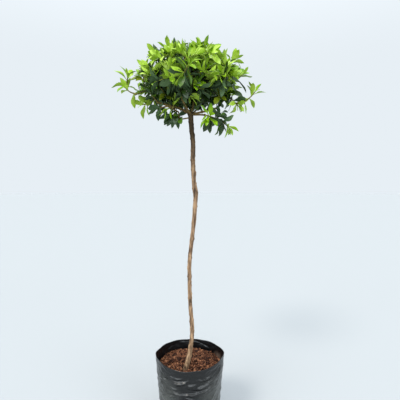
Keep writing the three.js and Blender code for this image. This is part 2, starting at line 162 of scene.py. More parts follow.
class Line:
    """A smooth line through points, read by its parameter or by its length."""

    def __init__(self, points):
        p = np.array(points, float)
        self.ends = np.vstack([2 * p[0] - p[1], p, 2 * p[-1] - p[-2]])
        self.spans = len(p) - 1
        self.t = np.linspace(0, 1, 201)
        steps = np.linalg.norm(np.diff(self.at(self.t), axis=0), axis=1)
        self.lengths = np.concatenate([[0], np.cumsum(steps)])
        self.length = self.lengths[-1]

    def at(self, t):
        """Points by their share of the spans."""
        p = np.asarray(t, float) * self.spans
        i = np.minimum(np.floor(p).astype(int), self.spans - 1)
        w = (p - i)[..., None]
        a, b, c, d = (self.ends[i + k] for k in range(4))
        run, next_run = 0.5 * (c - a), 0.5 * (d - b)
        return (
            b + run * w
            + (-3 * b + 3 * c - 2 * run - next_run) * w ** 2
            + (2 * b - 2 * c + run + next_run) * w ** 3
        )

    def along(self, u):
        """Points by their share of the length."""
        return self.at(np.interp(np.asarray(u) * self.length, self.lengths, self.t))


class Bend:
    """A twig's line: it sets off along its parent, sags, and rises to its tip."""

    def __init__(self, start, along, tip, carry, sag):
        length = math.sqrt((tip - start) @ (tip - start))
        middle = (start + tip) / 2 + carry * length * along - sag * length * UP
        self.corners = (start, middle, tip)
        self.length = length

    def at(self, t):
        """Points of the line; t runs from 0 to 1."""
        t = np.asarray(t, float)[..., None]
        a, b, c = self.corners
        return (1 - t) ** 2 * a + 2 * (1 - t) * t * b + t ** 2 * c

    def heading(self, t):
        """The line's direction at t."""
        a, b, c = self.corners
        return unit((1 - t) * (b - a) + t * (c - b))


def frames_along(points):
    """Headings and two cross directions at each point, carried along without twist."""
    headings = np.gradient(points, axis=0)
    headings /= np.linalg.norm(headings, axis=1)[:, None]
    axis = np.zeros(3)
    axis[2 - int(np.argmin(np.abs(headings[0][::-1])))] = 1
    side = unit(np.cross(headings[0], unit(np.cross(headings[0], axis))))
    sides = [side]
    for before, after in zip(headings[:-1], headings[1:]):
        hinge = np.cross(before, after)
        size = math.sqrt(hinge @ hinge)
        if size > 1e-9:
            angle = math.acos(max(-1, min(1, before @ after)))
            side = turned(side, hinge / size, angle)
        sides.append(side)
    sides = np.array(sides)
    return headings, sides, np.cross(headings, sides)


class Heap:
    """Corners and faces of one piece, gathered before its mesh is made."""

    def __init__(self):
        self.points, self.faces, self.finishes, self.count = [], [], [], 0

    def add(self, points, faces):
        """faces: pairs of equal-sized faces, numbered from 0 in these points, and their finish."""
        self.points.append(np.asarray(points, float))
        for group, finish in faces:
            self.faces.append(np.asarray(group, int) + self.count)
            self.finishes.append(np.broadcast_to(finish, len(group)))
        self.count += len(points)

    def mesh(self, name):
        """All that was added, as one smooth mesh in metres."""
        points = np.concatenate(self.points) * MM
        corners = np.concatenate([f.ravel() for f in self.faces])
        sizes = np.concatenate([np.full(len(f), f.shape[1]) for f in self.faces])
        mesh = bpy.data.meshes.new(name)
        mesh.vertices.add(len(points))
        mesh.vertices.foreach_set("co", points.ravel())
        mesh.loops.add(len(corners))
        mesh.loops.foreach_set("vertex_index", corners)
        mesh.polygons.add(len(sizes))
        mesh.polygons.foreach_set("loop_start", np.concatenate([[0], np.cumsum(sizes)[:-1]]))
        mesh.polygons.foreach_set("material_index", np.concatenate(self.finishes))
        mesh.polygons.foreach_set("use_smooth", np.ones(len(sizes), bool))
        mesh.update(calc_edges=True)
        return mesh


def placed(name, data):
    """A new object of a mesh, a lamp or a camera, in the scene."""
    thing = bpy.data.objects.new(name, data)
    bpy.context.scene.collection.objects.link(thing)
    return thing


def show(name, mesh, finishes, replaces=()):
    """Makes a piece of a mesh, rides it on the plant and hides the CAD nodes it stands for."""
    piece = placed(name, mesh)
    for finish in finishes:
        mesh.materials.append(finish)
    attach(piece, BODY)
    if replaces:
        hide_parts(*replaces)


def walls_of(rings, sides):
    """Quads between rings of corners, which run round a tube the way the bag's do."""
    i, j = np.meshgrid(np.arange(rings - 1) * sides, np.arange(sides), indexing="ij")
    here, there = i + j, i + (j + 1) % sides
    return np.stack([here, there, there + sides, here + sides], axis=-1).reshape(-1, 4)


def tube(heap, points, radii, sides, finish=0):
    """A closed tube; radii is one row of radii per point, or one radius per point."""
    headings, a, b = frames_along(points)
    angles = np.arange(sides) * 2 * math.pi / sides
    radii = radii.reshape(len(points), -1)
    ring = (
        a[:, None, :] * (np.cos(angles) * radii)[..., None]
        - b[:, None, :] * (np.sin(angles) * radii)[..., None]
        + points[:, None, :]
    )
    rings = len(points)
    corners = np.vstack([ring.reshape(-1, 3), points[:1], points[-1:]])
    walls = walls_of(rings, sides)[:, [0, 3, 2, 1]]
    j = np.arange(sides)
    foot = np.stack([j, (j + 1) % sides, np.full(sides, rings * sides)], axis=-1)
    last = (rings - 1) * sides
    top = np.stack([last + (j + 1) % sides, last + j, np.full(sides, rings * sides + 1)], axis=-1)
    heap.add(corners, [(walls, finish), (foot, finish), (top, finish)])


# ---------------- the rule of growth

stem_line = Line(STEM_LINE)
bough_lines = {name: Line([tuple(FORK), *line]) for name, (line, _) in BOUGHS.items()}


def girth(z):
    """The stem's radius at a height."""
    heights, radii = zip(*STEM_GIRTH)
    return np.interp(z, heights, radii)


def limb_points():
    """The limbs as points with a radius, which twigs and leaves keep clear of."""
    places, radii = [FORK[None]], [[FORK_RADIUS]]
    count = math.ceil(stem_line.length / LIMB_SAMPLE)
    line = stem_line.along(np.arange(count + 1) / count)
    places.append(line)
    radii.append(girth(line[:, 2]) + KNOT["rise"])
    for name, (_, (thick, thin)) in BOUGHS.items():
        count = math.ceil(bough_lines[name].length / LIMB_SAMPLE)
        u = np.arange(count + 1) / count
        places += [bough_lines[name].along(u), bough_lines[name].at([1.0])]
        radii += [thick + (thin - thick) * u, [NODE_RADIUS]]
    places, radii = np.concatenate(places), np.concatenate(radii)
    near = places[:, 2] > CROWN_CENTRE[2] - 3 * CROWN_DOWN
    return places[near], radii[near]


limb_at, limb_radius = limb_points()


def clear_of_limbs(points, room):
    """Whether all the points keep this much room from the limbs' surfaces."""
    apart = np.linalg.norm(points[:, None, :] - limb_at[None], axis=2)
    return bool((apart > limb_radius + room).all())


def mass_start(start):
    """A bough's tip, or the point of the stem at a height."""
    if isinstance(start, str):
        return bough_lines[start].at(1.0)
    foot = STEM_LINE[0][2]
    return stem_line.along((start - foot) / (FORK[2] - foot))


class Mass:
    """One mass of foliage. The farther its heart from its start, the wider its own part."""

    def __init__(self, index, name):
        start, heart, reaches = MASSES[name]
        self.name = name
        self.start = mass_start(start)
        self.heart = np.array(heart, float)
        self.reaches = [np.array(p, float) for p in reaches]
        self.weight = float((self.start - self.heart) @ (self.start - self.heart))
        self.seed = SEED + index


masses = [Mass(i, name) for i, name in enumerate(MASSES)]


def room_inside(mass, p):
    """How far inside its own part of the crown a point is."""
    own = float((p - mass.heart) @ (p - mass.heart)) - mass.weight
    room = math.inf
    for other in masses:
        if other is not mass:
            theirs = float((p - other.heart) @ (p - other.heart)) - other.weight
            gap = other.heart - mass.heart
            room = min(room, (theirs - own) / (2 * math.sqrt(gap @ gap)))
    return room


def crown_depth(p):
    """0 at the crown's centre, 1 on its rounded outline."""
    x, y, z = p - CROWN_CENTRE
    tall = CROWN_UP if z > 0 else CROWN_DOWN
    return math.sqrt((x / CROWN_WIDE) ** 2 + (y / CROWN_WIDE) ** 2 + (z / tall) ** 2)


def deal_tips(mass, rule, random, taken):
    """Shoot tips in an even scatter through the mass's room, apart from those taken."""
    taken = [tuple(p) for p in taken]
    tips = []
    apart2 = rule["spacing"] ** 2
    for _ in range(rule["darts"]):
        at = np.array([random() - 0.5, random() - 0.5, random() - 0.5])
        at = at * 2 * rule["spread"] + mass.heart
        depth = crown_depth(at)
        if not rule["inner"] < depth < rule["outer"]:
            continue
        x, y, z = at
        if any((x - a) ** 2 + (y - b) ** 2 + (z - c) ** 2 <= apart2 for a, b, c in taken):
            continue
        if room_inside(mass, at) > rule["edge"]:
            tips.append(at)
            taken.append((x, y, z))
    return tips


def curve_is_clear(mass, curve, room):
    """Whether a twig keeps inside its mass's room and off the limbs."""
    points = curve.at(np.arange(1, CHECKS + 1) / CHECKS)
    return all(room_inside(mass, p) >= room for p in points) and clear_of_limbs(points, LIMB_ROOM)


def join_twigs(mass, tips, joints, rule, room, level):
    """Each tip joins the nearest point of what has grown already."""
    made = []
    tips.sort(key=lambda tip: float((tip["at"] - mass.start) @ (tip["at"] - mass.start)))
    for tip in tips:
        places = np.array([at for at, _ in joints])
        nearest = joints[int(np.argmin(((places - tip["at"]) ** 2).sum(axis=1)))]
        curve = Bend(nearest[0], nearest[1], tip["at"], rule["carry"], rule["sag"])
        if curve_is_clear(mass, curve, room):
            made.append({"curve": curve, "long": tip["long"], "level": level})
            for t in TWIG_JOINTS:
                joints.append((curve.at(t), curve.heading(t)))
    return made


def grow(mass):
    """The mass's stem and joints, its coarse twigs as in the solids, and then its side shoots."""
    outward = unit(mass.heart - mass.start)
    stem = Bend(mass.start, outward, mass.start + STEM_SHARE * (mass.heart - mass.start), 0, 0)
    joints = [(stem.at(t), outward) for t in STEM_JOINTS]
    reaches = [{"at": p, "long": True} for p in mass.reaches]
    coarse = deal_tips(mass, COARSE, seeded(mass.seed), mass.reaches)
    tips = reaches + [{"at": p, "long": False} for p in coarse]
    twigs = [{"curve": stem, "long": False, "level": 0}]
    twigs += join_twigs(mass, tips, joints, COARSE, STEM_RADIUS + NEIGHBOUR_ROOM, 1)
    taken = [twig["curve"].corners[2] for twig in twigs]
    fine = deal_tips(mass, FINE, seeded(mass.seed * FINE_SEED), taken)
    tips = [{"at": p, "long": False} for p in fine]
    return twigs + join_twigs(mass, tips, joints, FINE, 0, 2)


# ---------------- leaves

LEAF_ROWS = np.array([0.0, 0.12, 0.3, 0.48, 0.66, 0.83, 1.0])  # shares of its length
LEAF_COLUMNS = np.array([-1.0, -0.5, 0.0, 0.5, 1.0])  # shares of its half width
LEAF_CORNERS = (len(LEAF_ROWS) - 1) * (len(LEAF_COLUMNS) + 1) + 1
LEAF_THICK = 0.9  # at the midrib
PETIOLE = 0.05  # least half width of the leaf's lower half, as a share
WHORL = (6, 3)  # least leaves, and in how many steps they grow
BELOW = (4, 4, 2)  # older leaves under the whorl, by the twig's level
TRIES = 3  # for a leaf that doesn't fit

WHORL_STEP, BELOW_STEP = 3.4, 12.5  # down the twig, in a whorl and under it
OPENINGS = {  # radians between leaf and twig, at the tip and at the whorl's end
    "long": (0.3, 1.25), "young": (0.2, 0.75), "old": (0.4, 1.05), "below": (0.8, 1.3),
}
LONG_LEAF, SHORT_LEAF = (46, 60), (38, 54)  # least and most
LOW_BELOW = 1150  # whorls under the crown hang, as in the source
LEAF_DEPTH = 1.12  # how far past the crown's outline a leaf may reach
LEAF_ROOM = 1.5  # from a limb's surface
FIT_SHARES = np.array([0.15, 0.4, 0.7, 1.0])  # of a leaf's length

# Limbs that no leaf hangs in front of: the fork, the boughs beside it and a long shoot.
OPEN_LIMBS = np.concatenate([
    FORK[None], bough_lines["bough_left"].along(np.arange(1, 13) / 12),
    bough_lines["bough_right"].along(np.arange(1, 5) / 10),
    Line([(-110, -6, 1167), (-150, -9, 1184), (-204, -13, 1204)]).along(np.arange(1, 9) / 8),
])
OPEN_WAY = unit(np.array([0.0, -1.0, -0.24]))
OPEN_ROOM = 8
HIDE_SHARES = np.array([0.1, 0.35, 0.6, 0.85])  # of a leaf's length


def leaf_half_width(s):
    """The leaf's outline: widest past its middle, with a pointed tip."""
    return np.maximum(PETIOLE * (s < 0.5), np.sin(math.pi * s ** 1.22) ** 0.85)


def leaf_faces():
    """Faces of one leaf: the upper side, four across, and the lower, two across.

    The upper corners come first, row by row, then the tip, then the midrib's underside.
    """
    rows, across = len(LEAF_ROWS) - 1, len(LEAF_COLUMNS)
    tip = rows * across
    spine, last = tip + 1, tip - across
    upper_quads, lower_quads = [], []
    for i in range(rows - 1):
        left, right, middle = i * across, i * across + across - 1, spine + i
        upper_quads += [(a, a + 1, a + across + 1, a + across) for a in range(left, right)]
        lower_quads.append((left, left + across, middle + 1, middle))
        lower_quads.append((middle, middle + 1, right + across, right))
    upper_tris = [(a, a + 1, tip) for a in range(last, tip - 1)]
    end = spine + rows - 1
    lower_tris = [(last, tip, end), (end, tip, tip - 1)]
    root = (0, spine, across - 1)
    rim = [row * across + side for row in range(rows) for side in (0, across - 1)] + [tip]
    return (upper_quads, upper_tris), (lower_quads, lower_tris, [root]), rim


UPPER_SIDE, LOWER_SIDE, LEAF_RIM = leaf_faces()


def leaf_points(leaf):
    """One blade: bowed along its length, folded up from its midrib, with a slack margin."""
    size, direction, upper, bow = (leaf[key] for key in ("size", "direction", "upper", "bow"))
    across = np.cross(direction, upper)
    s = LEAF_ROWS
    along = np.sin(bow * s) / bow
    lift = -(1 - np.cos(bow * s)) / bow
    half = 0.5 * leaf["aspect"] * leaf_half_width(s)
    c, w = np.meshgrid(LEAF_COLUMNS, half)
    wave = leaf["slack"] * np.sin(7.5 * s + leaf["phase"])[:, None] * np.abs(c) * w
    rise = np.abs(c) * w * math.sin(leaf["fold"]) - 0.35 * c * c * w * leaf["cup"] + wave
    out = c * w * math.cos(leaf["fold"])
    midrib = along[:, None] * direction + lift[:, None] * upper
    blade = midrib[:, None] + out[..., None] * across + rise[..., None] * upper
    blade = blade.reshape(-1, 3)[: (len(s) - 1) * len(LEAF_COLUMNS) + 1]
    blade[-1] = midrib[-1]
    thick = LEAF_THICK / size * (1 - 0.6 * s[:-1, None])
    spine = midrib[:-1] - thick * upper
    return leaf["root"] + size * np.vstack([blade, spine])


def leaf_pose(curve, slot, whorl, random, young, long):
    """A leaf's root, direction, upper side and shape, for its place on the twig."""
    whorled = slot < whorl
    if whorled:
        down = WHORL_STEP * (slot + 0.3)
    else:
        down = WHORL_STEP * whorl + BELOW_STEP * (slot - whorl + 0.4)
    t = max(0.2, 1 - down / curve.length)  # leaves stay off the twig's foot
    root, along = curve.at(t), curve.heading(t)
    side = unit(np.cross(along, UP + 1e-6))
    side = turned(side, along, slot * GOLDEN_ANGLE + random() * 0.9)
    sort = "below" if not whorled else "long" if long else "young" if young else "old"
    narrow, wide = OPENINGS[sort]
    grown = slot / max(1, whorl) if whorled else 1
    opening = narrow + (wide - narrow) * min(1, 0.75 * grown + 0.45 * random())
    lift = (0.45 if young else 0.1) if whorled else -0.22 - 0.3 * random()  # older ones hang
    if whorled and curve.corners[2][2] < LOW_BELOW:
        lift = -0.15 - 0.5 * random()
    direction = unit(along * math.cos(opening) + side * math.sin(opening) + lift * UP)
    upper = along + 0.8 * UP
    upper = unit(upper - direction * (upper @ direction))
    upper = turned(upper, direction, (random() - 0.5) * 1.1)
    least, most = LONG_LEAF if long else SHORT_LEAF
    size = least + (most - least) * random()
    if whorled:
        size *= 0.68 + 0.32 * min(1, grown * 1.6)
    return {
        "root": root, "direction": direction, "upper": upper, "size": size,
        "aspect": (0.3 if young else 0.34) + 0.15 * random(),
        "bow": 0.12 + 0.75 * random(),
        "fold": 0.1 + 0.4 * random(),
        "cup": random() - 0.3,
        "slack": 0.1 + 0.35 * random(),
        "phase": 6.28 * random(),
    }


def points_along(leaf, shares):
    """Points straight out from a leaf's root, at shares of its length."""
    return leaf["root"] + leaf["size"] * shares[:, None] * leaf["direction"]


def leaf_fits(leaf, long):
    """Whether a leaf keeps to the crown, unless its shoot is long, and off the limbs."""
    points = points_along(leaf, FIT_SHARES)
    if not long and any(crown_depth(p) > LEAF_DEPTH for p in points):
        return False
    return clear_of_limbs(points, LEAF_ROOM)


def hides_fork(leaf):
    """Whether a leaf hangs in front of the fork and the boughs that show beside it."""
    gap = points_along(leaf, HIDE_SHARES)[:, None, :] - OPEN_LIMBS[None]
    ahead = gap @ OPEN_WAY
    apart = np.linalg.norm(gap - ahead[..., None] * OPEN_WAY, axis=2)
    return bool(((ahead > 0) & (apart < OPEN_ROOM)).any())


# Kinds of leaf, in the order of leaf_finishes.
NEW, YOUNG, MATURE, OLD, OLIVE, UNDER_YOUNG, UNDER_OLD = range(7)

# Where light grows: upwards, outwards, to the right under the crown and to the ends of the long
# shoots, which get the lime new growth. The darker kinds where light is low are leaf age and
# painted shade: low and inside the crown, at the front's lower middle and under the crown's left.
LIT_HEIGHTS, LIT_DEPTHS = (1178, 1303), (0.45, 0.8)
FRONT_SHADE, FRONT_SHADE_HEIGHTS = (40, 130), (1240, 1290)
UNDER_SIDE, LONG_SIDES = (10, 85), (95, 140)


def spray_kinds(tip, depth, long, random):
    """The finishes of a shoot's tip leaves and of its older ones, from where the shoot stands.
    Where less light falls the kinds are darker, as painted shade as well as age.
    """
    x, y, z = tip
    light = smooth(z, *LIT_HEIGHTS) + 0.8 * smooth(depth, *LIT_DEPTHS) - 0.6
    # Painted shade: darker kinds at the front's lower middle, where the crown's shaded inside
    # shows.
    light -= 0.08 * smooth(-y, *FRONT_SHADE) * (1 - smooth(z, *FRONT_SHADE_HEIGHTS))
    # Painted shade: darker kinds under the crown, except to its right.
    if z < LOW_BELOW:
        light -= 0.4 * (1 - smooth(x, *UNDER_SIDE))
    light += 0.6 * (random() - 0.5) + (0.8 * smooth(abs(x), *LONG_SIDES) if long else 0)
    chance = random()
    if light > 0.6:
        return (NEW if chance < 0.7 else YOUNG), (YOUNG if chance < 0.6 else MATURE)
    if light > 0.3:
        fresh = YOUNG if chance < 0.45 else NEW if chance < 0.8 else OLIVE
        return fresh, (YOUNG if chance < 0.35 else MATURE)
    if light > 0.0:
        return (YOUNG if chance < 0.3 else OLIVE if chance < 0.4 else MATURE), OLD
    return (OLIVE if chance < 0.1 else MATURE if chance < 0.6 else OLD), OLD


def grow_leaves(mass, twigs):
    """Every shoot's leaves: a whorl at its tip and a few older ones below."""
    random = seeded(mass.seed * LEAF_SEED)
    leaves = []
    for twig in twigs:
        curve, long = twig["curve"], twig["long"]
        tip = curve.corners[2]
        fresh, aged = spray_kinds(tip, crown_depth(tip), long, random)
        young = fresh in (NEW, YOUNG)
        whorl = WHORL[0] + int(WHORL[1] * random())
        for slot in range(whorl + BELOW[twig["level"]]):
            for _ in range(TRIES):
                leaf = leaf_pose(curve, slot, whorl, random, young, long)
                if leaf_fits(leaf, long):
                    leaf["kind"] = fresh if slot < whorl else aged
                    leaves.append(leaf)
                    break
    return [leaf for leaf in leaves if not hides_fork(leaf)]


def leaf_mesh(name, leaves):
    """All leaves of a mass as one mesh, each with a sharp edge round its blade."""
    heap = Heap()
    for leaf in leaves:
        kind = leaf["kind"]
        under = UNDER_YOUNG if kind in (NEW, YOUNG) else UNDER_OLD
        faces = [(group, kind) for group in UPPER_SIDE] + [(group, under) for group in LOWER_SIDE]
        heap.add(leaf_points(leaf), faces)
    mesh = heap.mesh(name)
    ends = np.empty(len(mesh.edges) * 2, int)
    mesh.edges.foreach_get("vertices", ends)
    ends = ends.reshape(-1, 2) % LEAF_CORNERS
    rim = np.zeros(LEAF_CORNERS, bool)
    rim[LEAF_RIM] = True
    sharp = mesh.attributes.new("sharp_edge", "BOOLEAN", "EDGE")
    sharp.data.foreach_set("value", rim[ends].all(axis=1))
    return mesh


# ---------------- twigs and limbs

# The radii at both ends, the sides and the rings of a stem, a coarse twig and a side shoot.
TWIG_SIZES = [(2.7, 2.0, 8, 9), (2.1, 1.25, 7, 9), (1.45, 0.95, 5, 7)]
LONG_STOUT = 1.3  # long shoots are stouter
SWELLING = 1.12  # where the leaf whorl stands


def twig_mesh(mass, twigs):
    """The mass's stem and all its twigs, with a small swelling where each leaf whorl stands."""
    heap = Heap()
    for twig in twigs:
        level = twig["level"]
        thick, thin, sides, rings = TWIG_SIZES[level]
        u = np.linspace(0, 1, rings)
        radii = (thick + (thin - thick) * u) * (LONG_STOUT if twig["long"] else 1)
        radii[-2:] *= SWELLING
        tube(heap, twig["curve"].at(u), radii, sides, level // 2)
    return heap.mesh(mass.name + "_twigs")


def knots_on_stem():
    """Heights, angles and rises of the low knots, as in the source."""
    random = seeded(KNOT["seed"])
    knots = []
    z = STEM_FOOT[2] + KNOT["spacing"]
    while z < FORK[2] - KNOT["spacing"]:
        angle = random() * 2 * math.pi
        knots.append((z, angle, KNOT["rise"] * (0.5 + random())))
        z += KNOT["spacing"] * (0.6 + 0.8 * random())
    return knots


def leaf_scars():
    """Small stubs where leaves once stood, winding up the stem."""
    random = seeded(KNOT["seed"] * LEAF_SEED)
    scars = []
    z = STEM_FOOT[2] + 30
    while z < FORK[2] - 20:
        scars.append((z, len(scars) * GOLDEN_ANGLE, 0.7 + 1.3 * random()))
        z += 8 + 12 * random()
    return scars


def bark_relief(angle, z, radius, coarse):
    """How far the bark stands out: long shallow ridges, ring scars and flakes."""
    x, y = math.cos(angle), math.sin(angle)
    ridge = noise.noise(Vector((x * 2.1, y * 2.1, z / 46)))
    streak = noise.noise(Vector((x * 4.6 + 9, y * 4.6, z / 30)))
    flake = noise.noise(Vector((x * 3.4, y * 3.4 + 4, z / 5.5)))
    scar = noise.noise(Vector((x * 0.7, y * 0.7, z / 9 + 20)))
    scar = max(0, scar - 0.28) * 2.6
    return coarse * radius * (0.1 * ridge + 0.085 * streak + 0.05 * flake + 0.11 * scar)


def bark_tube(heap, points, radii, sides, heights, coarse, turn=0):
    """A tube with the bark's relief, which is read at these heights and turned by an angle."""
    angles = np.arange(sides) * 2 * math.pi / sides + turn
    radii = radii.reshape(len(points), -1) * np.ones(sides)
    for row, z in zip(radii, heights):
        row += [bark_relief(angle, z, radius, coarse) for angle, radius in zip(angles, row)]
    tube(heap, points, radii, sides)


def trunk_mesh():
    """The stem from its flat foot in the growing medium to the fork's knuckle."""
    sides, rings = 40, 520
    line = stem_line.along(np.linspace(0, 1, rings * 2))
    points = line[line[:, 2] >= STEM_FOOT[2] + GAP][::2]
    heights = points[:, 2].copy()
    points[0, 2] = STEM_FOOT[2] + GAP  # just clear of the medium
    angles = np.arange(sides) * 2 * math.pi / sides
    radii = np.repeat(girth(heights)[:, None], sides, axis=1)
    for z, angle, rise in knots_on_stem():
        lift = np.exp(-(((heights - z) / KNOT["half_height"]) ** 2))[:, None]
        radii += rise * lift * np.maximum(0, np.cos(angles - angle))[None]
        collar = np.exp(-(((heights - z + COLLAR["below"]) / COLLAR["half_height"]) ** 2))[:, None]
        radii += COLLAR["share"] * rise * collar * (0.5 + 0.5 * np.cos(angles - angle))[None]
    for z, angle, rise in leaf_scars():
        bump = np.exp(-(((heights - z) / SCAR_HALF_HEIGHT) ** 2))[:, None]
        radii += rise * bump * np.maximum(0, np.cos(angles - angle))[None] ** 3
    heap = Heap()
    bark_tube(heap, points, radii, sides, heights, 1.0)
    knuckle(heap, FORK, FORK_RADIUS, 20)
    return heap.mesh("trunk_bark")


def knuckle(heap, centre, radius, sides):
    """A rounded burr where limbs part, with the bark's relief."""
    rings = sides // 2
    up = np.linspace(-0.98, 0.98, rings) * math.pi / 2
    points = centre + np.sin(up)[:, None] * radius * UP
    bark_tube(heap, points, np.cos(up) * radius, sides, centre[2] + 3 * np.arange(rings), 0.8)


def bough_mesh(name):
    """One tapering bough from the fork to the burr at its tip."""
    line, (thick, thin) = bough_lines[name], BOUGHS[name][1]
    ring_step, sides = 2.2, 16
    count = int(line.length / ring_step)
    u = np.arange(count + 1) / count
    heap = Heap()
    radii = thick + (thin - thick) * u
    bark_tube(heap, line.along(u), radii, sides, u * line.length, 0.9, turn=count)
    knuckle(heap, line.at(1.0), NODE_RADIUS, 12)
    return heap.mesh(name + "_bark")


# ---------------- the grow bag

BAG = {
    "foot": 90, "corner": 9, "low": 99, "rim": 117, "height": 275, "saddle": 2.4, "tilt": 1.3,
    "crease": 2.2, "crumple": 1.1,
}
FILM = 0.35  # its thickness
SOIL_LEVEL = 249


def bag_radius(height):
    """The bag's radius before folds, with its rounded lower edge."""
    sunk = np.clip(1 - height / BAG["corner"], 0, 1)
    t = np.clip((height - BAG["corner"]) / (BAG["height"] - BAG["corner"]), 0, 1)
    return BAG["low"] + (BAG["rim"] - BAG["low"]) * t - (BAG["low"] - BAG["foot"]) * sunk ** 2


def slack_out(angle, height):
    """How far the film stands out of round: two side creases and slack, as in the solid."""
    out = BAG["crease"] * np.abs(np.cos(angle)) ** 22 + BAG["crumple"] * np.sin(4 * angle + 1)
    return smooth(height, 0, 120) * out


def rim_lift(angle, height):
    """How far the film near the rim is lifted: the rim is a shallow, tilted saddle."""
    tilt = BAG["saddle"] * np.cos(2 * angle) + BAG["tilt"] * np.sin(angle)
    return smooth(height, 200, BAG["height"]) * tilt


# Folds in the film: (angle in degrees from the front, height) at start, middle and end, how far
# the crest stands out, and its half width. Angles grow to the plant's left side.
SAG_FOLDS = [
    ((24, 236), (4, 214), (-20, 220), 2.8, 5.0),
    ((56, 214), (28, 188), (2, 176), 3.2, 6.0),
    ((-8, 224), (-34, 226), (-62, 258), 2.6, 5.0),
    ((-16, 196), (-42, 206), (-70, 246), 2.4, 4.5),
    ((60, 180), (40, 150), (14, 128), 2.8, 6.5),
    ((72, 150), (52, 112), (30, 86), 2.6, 6.0),
    ((-30, 176), (-52, 190), (-76, 226), 2.2, 4.2),
    ((30, 160), (0, 150), (-26, 164), 2.0, 5.0),
    ((-10, 120), (-40, 128), (-66, 168), 2.2, 6.0),
    ((20, 92), (-8, 84), (-40, 98), 2.4, 6.0),
    ((44, 70), (20, 52), (-10, 46), 2.2, 6.0),
    ((-44, 84), (-62, 100), (-80, 132), 2.2, 5.0),
    ((48, 248), (32, 230), (12, 240), 2.6, 4.0),
    ((-4, 246), (-24, 236), (-48, 250), 2.4, 4.0),
    ((66, 196), (50, 204), (26, 196), 2.6, 4.0),
    ((-20, 178), (-38, 168), (-58, 182), 2.4, 4.5),
]
FOLD_SEED = 4421
CRUMPLE_SEED = 21
EXTRA_FOLDS = 74
FOLD_REACH = 108.0  # the bag's mean radius, which turns angles into lengths
FOLD_STEPS = 14
FILM_SIDES, FILM_RINGS = 300, 130


def fold_field(angle, height):
    """The film's folds: placed sags on the front and seeded ones all round."""
    random = seeded(FOLD_SEED)
    folds = list(SAG_FOLDS)
    for _ in range(EXTRA_FOLDS):
        centre = 360 * random()
        tall = 20 + 232 * random()
        run = (14 + 26 * random()) * (1 if random() < 0.5 else -1)
        climb = 34 * (random() - 0.35)
        sag = 4 + 16 * random()
        rise = 1.0 + 2.2 * random()
        width = 2.2 + 4.2 * random()
        folds.append((
            (centre - run, tall - climb), (centre, tall - sag), (centre + run, tall + climb),
            rise, width,
        ))
    total = np.zeros_like(height)
    t = np.linspace(0, 1, FOLD_STEPS + 1)[:, None]
    for start, middle, end, rise, width in folds:
        run = np.array([start, middle, end], float)
        line = (1 - t) ** 2 * run[0] + 2 * t * (1 - t) * run[1] + t ** 2 * run[2]
        away = np.full(height.shape, np.inf)
        above, share = np.zeros(height.shape, bool), np.zeros(height.shape)
        for k, (a, b) in enumerate(zip(line[:-1], line[1:])):
            dx = np.radians((angle - a[0] + 180) % 360 - 180) * FOLD_REACH
            dz = height - a[1]
            ex, ez = math.radians(b[0] - a[0]) * FOLD_REACH, b[1] - a[1]
            along = np.clip((dx * ex + dz * ez) / (ex * ex + ez * ez), 0, 1)
            gap = np.hypot(dx - along * ex, dz - along * ez)
            closer = gap < away
            away = np.where(closer, gap, away)
            above = np.where(closer, dx * ez > dz * ex, above)
            share = np.where(closer, (k + along) / FOLD_STEPS, share)
        fade = np.sin(math.pi * np.clip(share, 0.02, 0.98)) ** 0.7
        crest = np.exp(-(away / width))
        skirt = np.exp(-((away / (2.6 * width)) ** 2))
        lean = np.where(above, 1.0, 0.55)
        hollow = np.exp(-(((away - 2.2 * width) / (1.3 * width)) ** 2))
        total += rise * fade * (1.5 * crest * lean + 0.35 * skirt - 0.5 * hollow)
    return total


def crumple(angle, height):
    """Fine crushed creases between the folds."""
    noise.seed_set(CRUMPLE_SEED)  # noise_vector is drawn from the clock without it
    flat = np.zeros(height.shape)
    for index in np.ndindex(height.shape):
        a = math.radians(angle[index])
        p = Vector((math.cos(a) * 2.7, math.sin(a) * 2.7, height[index] / 22))
        p += 0.7 * noise.noise_vector(p * 0.7)  # so that the creases wander
        ridged = 1 - abs(noise.noise(p)) * 2.2
        finer = 1 - abs(noise.noise(p * 2.6 + Vector((3, 1, 7)))) * 2.2
        flat[index] = 2.0 * max(0, ridged) ** 1.6 + 0.9 * max(0, finer) ** 1.6
    return flat


